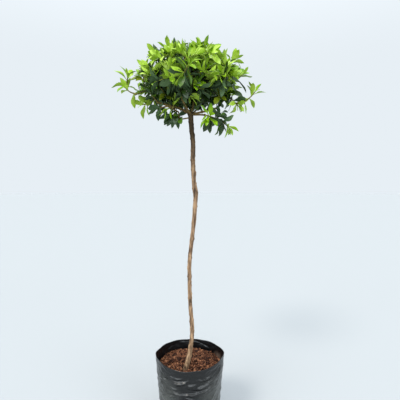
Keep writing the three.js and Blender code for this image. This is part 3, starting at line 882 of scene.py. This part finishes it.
def bag_mesh():
    """The film: outside with its folds, over the rim, and down the inside to the chips."""
    angle = np.arange(FILM_SIDES) * 360 / FILM_SIDES
    wall = np.linspace(BAG["corner"], BAG["height"], FILM_RINGS)
    heights = np.concatenate([np.linspace(0, BAG["corner"], 5), wall[1:]])
    a, h = np.meshgrid(angle, heights)
    theta = np.radians(a - 90)  # 0 degrees faces the front
    folds = np.clip(fold_field(a, h) + crumple(a, h) - 1.1, -1.7, 7.0)
    # They are shallower at the foot, at the rim and on the side creases.
    folds = folds * smooth(h, 0, 34) * (1 - 0.5 * smooth(h, 262, BAG["height"]))
    folds *= 1 - 0.6 * np.abs(np.cos(theta)) ** 8
    corner = 3.0 * np.abs(np.cos(theta)) ** 46 * smooth(h, 120, BAG["height"])
    out = bag_radius(h) + slack_out(theta, h) + folds + corner
    rim_wobble = 0.9 * np.sin(np.radians(5 * a + 40)) + 0.7 * np.sin(np.radians(11 * a))
    z = h + rim_lift(theta, h) + smooth(h, 240, BAG["height"]) * rim_wobble
    outer = np.stack([out * np.cos(theta), out * np.sin(theta), z], axis=-1)
    inside = heights > SOIL_LEVEL - 34  # the film's inner side goes on under the chips
    out, theta = out[inside] - FILM, theta[inside]
    inner = np.stack([out * np.cos(theta), out * np.sin(theta), z[inside]], axis=-1)[::-1]
    rings = np.concatenate([outer, inner])
    corners = np.vstack([rings.reshape(-1, 3), [[0, 0, 0]]])
    walls = walls_of(len(rings), FILM_SIDES)
    inward = (np.arange(len(walls)) >= len(outer) * FILM_SIDES).astype(int)
    middle = len(corners) - 1
    base = [((j + 1) % FILM_SIDES, j, middle) for j in range(FILM_SIDES)]
    heap = Heap()
    heap.add(corners, [(walls, inward), (base, 0)])
    return heap.mesh("grow_bag_film")


# ---------------- the growing medium

SOIL = {"wall_level": 236, "shoulder": 50, "dish_depth": 12, "dish_radius": 48, "lump": 1.6}
CHIP_SEED = 902
CHIPS = 3600
STEM_CLEAR = 14  # from the stem's middle, where no chip lies
CUBE = np.array([[(k & 1) - 0.5, (k & 2) / 2 - 0.5, (k & 4) / 4 - 0.5] for k in range(8)])
BOX = [(0, 1, 3, 2), (4, 6, 7, 5), (0, 4, 5, 1), (2, 3, 7, 6), (0, 2, 6, 4), (1, 5, 7, 3)]


def soil_height(x, y):
    """The medium's surface, as in the source: dished at the stem, falling to the wall."""
    away = math.hypot(x - STEM_FOOT[0], y - STEM_FOOT[1]) / SOIL["dish_radius"]
    lumps = math.sin(x / 13) * math.cos(y / 17) + 0.5 * math.sin((x + 2 * y) / 11)
    fall = smooth(math.hypot(x, y), SOIL["shoulder"], BAG["rim"] - 9)
    fall *= SOIL_LEVEL - SOIL["wall_level"]
    return SOIL_LEVEL - fall - SOIL["dish_depth"] * math.exp(-away * away) + SOIL["lump"] * lumps


def chips_mesh():
    """Bark chips and coir, heaped on the medium: flat shreds, lumps and dust."""
    random = seeded(CHIP_SEED)
    heap = Heap()
    edge = float(bag_radius(np.array(SOIL["wall_level"]))) - 3.5  # the last chip's middle
    for _ in range(CHIPS):
        r = edge * math.sqrt(random())
        a = 2 * math.pi * random()
        x, y = r * math.cos(a), r * math.sin(a)
        if math.hypot(x - STEM_FOOT[0], y - STEM_FOOT[1]) < STEM_CLEAR:
            continue
        big = random() ** 2.2
        length = 3.6 + 12 * big
        width = length * (0.22 + 0.36 * random())
        sizes = np.array([length, width, 1.2 + 3.0 * random() * (0.4 + big)])
        heading = unit(np.array([random() - 0.5, random() - 0.5, 0.5 * (random() - 0.5)]))
        top = unit(UP + 1.5 * np.array([random() - 0.5, random() - 0.5, 0]))
        side = unit(np.cross(top, heading))
        top = np.cross(heading, side)
        jitter = 1 + 0.55 * (np.array([[random() for _ in range(3)] for _ in CUBE]) - 0.5)
        corners = CUBE * sizes * jitter @ np.array([heading, side, top])
        # By the wall, chips are smaller and lie lower, and none goes through the film.
        keep = min(1.0, max(0.0, (edge + 1.5 - r) / 7))
        z = soil_height(x, y) + 0.3 + 5.0 * random() ** 1.5 * (0.3 + 0.7 * keep)
        points = corners * (0.7 + 0.3 * keep) + (x, y, z)
        far = np.hypot(points[:, 0], points[:, 1])
        points[:, :2] *= np.minimum(1, (edge - 0.5) / np.maximum(far, 1))[:, None]
        heap.add(points, [(BOX, int(3 * random() ** 1.15))])
    mesh = heap.mesh("bark_chips")
    mesh.polygons.foreach_set("use_smooth", np.zeros(len(mesh.polygons), bool))
    return mesh


# ---------------- finishes

def linear(code):
    """A plain sRGB hex colour as linear RGBA."""
    channels = [int(code[i:i + 2], 16) / 255 for i in (1, 3, 5)]
    return (*[c / 12.92 if c <= 0.04045 else ((c + 0.055) / 1.055) ** 2.4 for c in channels], 1)


def add_node(tree, kind, settings=None, links=None, values=None):
    """Adds a node: settings are its properties, values and links go to its inputs."""
    node = tree.nodes.new(kind)
    for key, value in (settings or {}).items():
        setattr(node, key, value)
    for key, value in (values or {}).items():
        node.inputs[key].default_value = value
    for key, socket in (links or {}).items():
        tree.links.new(socket, node.inputs[key])
    return node


PLANT_IOR, FILM_IOR = 1.45, 1.51


def new_finish(name):
    """An empty material, its node tree and the place on the plant, in metres."""
    finish = bpy.data.materials.new(name)
    finish.use_nodes = True
    tree = finish.node_tree
    tree.nodes.clear()
    place = add_node(tree, "ShaderNodeTexCoord").outputs["Object"]
    return finish, tree, place


def clouds(tree, place, size, detail, rough=0.5, stretch=(1, 1, 1)):
    """A pattern from 0 to 1 whose size is in millimetres, stretched along an axis below 1."""
    scale = tuple(1000 / size * share for share in stretch)
    at = add_node(tree, "ShaderNodeMapping", values={"Scale": scale}, links={"Vector": place})
    grain = {"Scale": 1.0, "Detail": detail, "Roughness": rough}
    spot = {"Vector": at.outputs["Vector"]}
    return add_node(tree, "ShaderNodeTexNoise", links=spot, values=grain).outputs["Fac"]


def between(tree, value, low, high, low_share=0.0, high_share=1.0):
    """The value's place between low and high, as a share from low_share to high_share."""
    limits = {"From Min": low, "From Max": high, "To Min": low_share, "To Max": high_share}
    node = add_node(tree, "ShaderNodeMapRange", links={"Value": value}, values=limits)
    return node.outputs["Result"]


def tones(tree, pattern, *stops):
    """Colours dealt out by a pattern; each stop is its place from 0 to 1 and a hex colour."""
    node = add_node(tree, "ShaderNodeValToRGB", links={"Fac": pattern})
    elements = node.color_ramp.elements
    elements[0].position, elements[1].position = stops[0][0], stops[-1][0]
    for place, _ in stops[1:-1]:
        elements.new(place)
    for element, (_, code) in zip(elements, stops):
        element.color = linear(code)
    return node.outputs["Color"]


def mixed(tree, share, links, values=None):
    """Colour A turning into colour B by a share."""
    links = {"Factor": share, **links}
    node = add_node(tree, "ShaderNodeMix", {"data_type": "RGBA"}, links, values)
    return node.outputs["Result"]


def computed(tree, operation, *inputs):
    """The result of one operation on patterns."""
    node = add_node(tree, "ShaderNodeMath", {"operation": operation}, dict(enumerate(inputs)))
    return node.outputs["Value"]


def close_finish(tree, colour, pattern, rough, ior, gloss, bump, depth):
    """The shader and the output. The pattern stands out by a depth in metres, and rough may be
    a pattern too."""
    sizes = {"Strength": bump, "Distance": depth}
    relief = add_node(tree, "ShaderNodeBump", links={"Height": pattern}, values=sizes)
    values = {"IOR": ior, "Specular IOR Level": gloss}
    links = {"Base Color": colour, "Normal": relief.outputs["Normal"]}
    (values if isinstance(rough, float) else links)["Roughness"] = rough
    shader = add_node(tree, "ShaderNodeBsdfPrincipled", values=values, links=links)
    add_node(tree, "ShaderNodeOutputMaterial", links={"Surface": shader.outputs["BSDF"]})


def leaf_finish(name, low, high, rough, gloss, bump):
    """A leaf's cuticle: waxy over soft green tissue, mottled every few millimetres. On new leaves
    the mottle's pale tone is painted sheen as well as mottle.
    """
    finish, tree, place = new_finish(name)
    mottle_and_sheen = clouds(tree, place, size=26, detail=3.0)
    veins = clouds(tree, place, size=5, detail=2.0)
    colour = tones(tree, mottle_and_sheen, (0.35, low), (0.65, high))
    close_finish(tree, colour, veins, rough, PLANT_IOR, gloss, bump, depth=0.0006)
    return finish


def bark_finish(name, dark, mid, pale, top_dark, top_mid, fade):
    """Thin young bark: long grey-brown streaks with paler rubbed ridges, and dark flecks. From one
    height to the other (fade, in metres) it turns into the colours of the top: greener on the
    boughs and shoots, darker on the stem towards the crown."""
    finish, tree, place = new_finish(name)
    streaks = clouds(tree, place, size=7, detail=5.0, rough=0.62, stretch=(1, 1, 0.16))
    flecks = clouds(tree, place, size=9, detail=3.0, stretch=(1, 1, 0.7))
    old = tones(tree, streaks, (0.36, dark), (0.5, mid), (0.66, pale))
    young = tones(tree, streaks, (0.35, top_dark), (0.65, top_mid))
    height = add_node(tree, "ShaderNodeSeparateXYZ", links={"Vector": place}).outputs["Z"]
    aged = mixed(tree, between(tree, height, *fade), {"A": old, "B": young})
    spots = between(tree, flecks, 0.62, 0.74, high_share=0.55)
    colour = mixed(tree, spots, {"A": aged}, {"B": linear(dark)})
    close_finish(tree, colour, streaks, 0.78, PLANT_IOR, gloss=0.3, bump=0.6, depth=0.0008)
    return finish


def film_finish(name, clean, dust_and_sheen, spread, sideways, downwards, both_sides):
    """Black low-density polythene film, blown thin: glossy where it is stretched over a fold,
    duller where dust lies on it. The dust tone grows to the side (or both) and down from the rim,
    each between two distances in metres; where it grows to both flanks it is painted reflection as
    well as dust."""
    finish, tree, place = new_finish(name)
    dust = clouds(tree, place, size=42, detail=4.0, rough=0.6)
    wrinkles = clouds(tree, place, size=9, detail=3.0)
    parts = add_node(tree, "ShaderNodeSeparateXYZ", links={"Vector": place}).outputs
    across = parts["X"]
    if both_sides:
        across = computed(tree, "ABSOLUTE", across)
    amount = computed(tree, "MULTIPLY", dust, between(tree, across, *sideways))
    amount = computed(tree, "MULTIPLY", amount, between(tree, parts["Z"], *downwards))
    colour = tones(tree, amount, (spread[0], clean), (spread[1], dust_and_sheen))
    rough = between(tree, dust, 0.0, 1.0, 0.2, 0.4)
    close_finish(tree, colour, wrinkles, rough, FILM_IOR, gloss=0.4, bump=0.35, depth=0.0012)
    return finish


def chip_finish(name, low, high):
    """Composted bark: fibrous, matt and streaked along its grain."""
    finish, tree, place = new_finish(name)
    grain = clouds(tree, place, size=5, detail=4.0, rough=0.65)
    colour = tones(tree, grain, (0.36, low), (0.64, high))
    close_finish(tree, colour, grain, 0.88, PLANT_IOR, gloss=0.2, bump=0.7, depth=0.0008)
    return finish


# ---------------- the scene round the plant

FLOOR_REACH, FLOOR_SIDES = 40000, 64
LAMPS = [  # name, strength, spread in degrees, tint, and where it shines from
    ("key_light", 1.5, 16, "#FFF9EE", (-0.55, -0.75, 0.95)),
    ("left_window", 1.3, 36, "#E8F0F6", (-0.67, -0.74, 0.36)),
    ("front_window", 1.3, 36, "#E8F0F6", (0.0, -1.0, 0.36)),
    ("right_window", 1.3, 36, "#E8F0F6", (0.67, -0.74, 0.36)),
]


def make_stage():
    """A wide pale floor and soft light from all sides, strongest from the upper front left."""
    heap = Heap()
    ring = np.arange(FLOOR_SIDES) * 2 * math.pi / FLOOR_SIDES
    rim = np.stack([np.cos(ring), np.sin(ring), np.zeros(FLOOR_SIDES)], axis=-1) * FLOOR_REACH
    fan = [(i, (i + 1) % FLOOR_SIDES, FLOOR_SIDES) for i in range(FLOOR_SIDES)]
    heap.add(np.vstack([rim, [[0, 0, 0]]]), [(fan, 0)])
    floor = placed("floor", heap.mesh("floor"))
    paint = bpy.data.materials.new("pale_floor_paint")
    paint.use_nodes = True
    shader = paint.node_tree.nodes["Principled BSDF"]
    shader.inputs["Base Color"].default_value = linear("#B2B5B7")
    shader.inputs["Roughness"].default_value = 0.95
    shader.inputs["Specular IOR Level"].default_value = 0.0
    floor.data.materials.append(paint)

    world = bpy.data.worlds.new("soft_room")
    world.use_nodes = True
    tree = world.node_tree
    way = add_node(tree, "ShaderNodeTexCoord").outputs["Generated"]
    height = add_node(tree, "ShaderNodeSeparateXYZ", links={"Vector": way}).outputs["Z"]
    bright = add_node(
        tree, "ShaderNodeMapRange", {"interpolation_type": "SMOOTHSTEP"},
        {"Value": height}, {"From Min": 0.3, "From Max": 0.95, "To Min": 0.99, "To Max": 1.6},
    )
    sky = tree.nodes["Background"]
    sky.inputs["Color"].default_value = linear("#E8F0F6")
    tree.links.new(bright.outputs["Result"], sky.inputs["Strength"])
    bpy.context.scene.world = world

    for name, strength, spread, tint, source in LAMPS:
        lamp = bpy.data.lights.new(name, "SUN")
        lamp.energy = strength
        lamp.angle = math.radians(spread)
        lamp.color = linear(tint)[:3]
        holder = placed(name, lamp)
        holder.location = Vector(source) * 3
        holder.rotation_euler = Vector(source).to_track_quat("Z", "Y").to_euler()


def make_camera():
    """A short lens at chest height, level with the stem and tipped down a little."""
    camera = placed("camera", bpy.data.cameras.new("camera"))
    camera.location = (0.0364, -1.2, 0.88)
    camera.rotation_euler = (math.radians(90 - 2.5), 0, 0)
    camera.data.sensor_width = 36
    camera.data.lens = 36 * 340 / 400  # 0.85 of the picture's width
    camera.data.clip_start = 0.01
    camera.data.clip_end = 200
    bpy.context.scene.camera = camera
    bpy.context.scene.view_settings.view_transform = "Standard"


# ---------------- making it

make_camera()
make_stage()

leaf_finishes = [  # in the order of the kinds of leaf
    # The new leaf's pale tone, #B2CC5C, is painted sheen as well as mottle.
    leaf_finish("new_leaf_with_painted_sheen", "#80A200", "#B2CC5C", 0.26, 0.3, 0.3),
    leaf_finish("young_leaf", "#547E00", "#7FA21E", 0.27, 0.33, 0.35),
    leaf_finish("mature_leaf", "#2C470C", "#4C6B1E", 0.3, 0.38, 0.4),
    leaf_finish("old_leaf", "#17270A", "#2C4118", 0.28, 0.4, 0.45),
    leaf_finish("olive_leaf", "#5A6A0C", "#7F8E1E", 0.42, 0.45, 0.4),
    leaf_finish("young_leaf_underside", "#80A41E", "#A4C244", 0.55, 0.3, 0.5),
    leaf_finish("mature_leaf_underside", "#31472A", "#4C623E", 0.6, 0.25, 0.5),
]
# The stem's bark turns darker towards the crown.
old_wood = bark_finish(
    "stem_bark", "#35271B", "#745B44", "#A28566", "#22190D", "#44351F", (0.87, 1.05),
)
young_wood = bark_finish(
    "bough_bark", "#3B2F18", "#5E4C26", "#7D6838", "#4B4A1C", "#6C6A2C", (1.14, 1.2),
)
shoot_wood = bark_finish(
    "green_shoot_bark", "#565320", "#7A7A34", "#93974A", "#6C7A2E", "#93A44A", (1.18, 1.34),
)
# Dark wet compost shows between the chips; its near-black tone is painted shade in the gaps as
# well.
compost_and_gap_shade = chip_finish("wet_compost_and_gap_shade", "#120A06", "#28160E")
chip_finishes = [
    chip_finish("dark_bark_chip", "#1E100A", "#3A2218"),
    chip_finish("red_bark_chip", "#442819", "#6B432F"),
    chip_finish("pale_coir_chip", "#653F2B", "#946649"),
]

film_finishes = [  # outside and inside
    # On the outside the lighter tone on both flanks is dust and painted reflection.
    film_finish(
        "black_polythene_film", "#08090A", "#444643", (0.05, 0.7), (0.015, 0.085), (0.265, 0.18),
        both_sides=True,
    ),
    film_finish(
        "dusty_polythene_film", "#08090B", "#5C4C42", (0.25, 0.55), (0.05, 0.11), (0.28, 0.238),
        both_sides=False,
    ),
]
show("grow_bag_film", bag_mesh(), film_finishes, ["grow_bag"])
show("bark_chips", chips_mesh(), chip_finishes)
for material_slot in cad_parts["growing_medium"].material_slots:
    material_slot.material = compost_and_gap_shade

show("trunk_bark", trunk_mesh(), [old_wood], ["trunk"])
for bough in BOUGHS:
    show(bough + "_bark", bough_mesh(bough), [young_wood], [bough])

for mass in masses:
    twigs = grow(mass)
    wood = twig_mesh(mass, twigs)
    blades = leaf_mesh(mass.name + "_leaves", grow_leaves(mass, twigs))
    show(mass.name + "_twigs", wood, [young_wood, shoot_wood], [mass.name])
    show(mass.name + "_leaves", blades, leaf_finishes, [mass.name])
